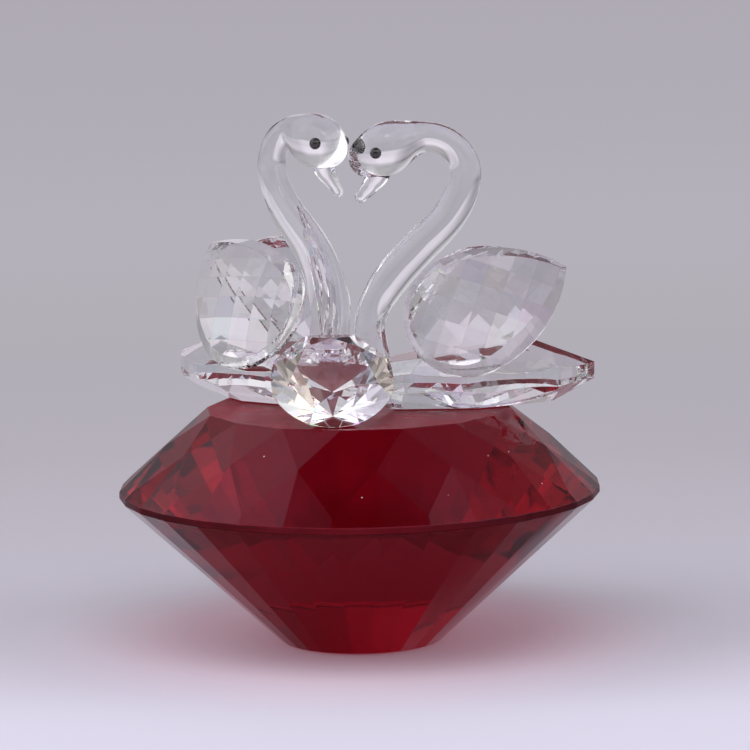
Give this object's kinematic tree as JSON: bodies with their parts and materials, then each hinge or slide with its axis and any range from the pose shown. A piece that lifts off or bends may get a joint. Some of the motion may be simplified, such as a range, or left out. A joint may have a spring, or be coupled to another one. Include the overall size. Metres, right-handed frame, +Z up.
{
  "type": "swan figurine",
  "caption": "Ornament of two clear glass swans with curved necks, facing each other on a faceted red glass block with a clear brilliant-cut stone in front.",
  "frame": {"origin": "centre of the block's flat foot, on the surface it stands on", "axes": "+Z up, -Y toward the front, where the small clear stone lies; the two swans mirror each other's plan across the YZ plane"},
  "size_m": [0.08, 0.08, 0.0879],
  "materials": {
    "red_block_glass": "polished facets, deep ruby red through the thickness",
    "front_brilliant_glass": "polished brilliant facets",
    "body_glass": "polished facets",
    "wing_glass": "polished square facets",
    "neck_glass": "smooth, flame worked",
    "eye_glass": "glossy black"
  },
  "bodies": {
    "root": {"red_block": "red_block_glass", "front_brilliant": "front_brilliant_glass", "left_body": "body_glass", "left_outer_wing": "wing_glass", "left_inner_wing": "wing_glass", "left_neck": "neck_glass", "left_outer_eye": "eye_glass", "left_inner_eye": "eye_glass", "right_body": "body_glass", "right_outer_wing": "wing_glass", "right_inner_wing": "wing_glass", "right_neck": "neck_glass", "right_outer_eye": "eye_glass", "right_inner_eye": "eye_glass"}
  },
  "joints": []
}
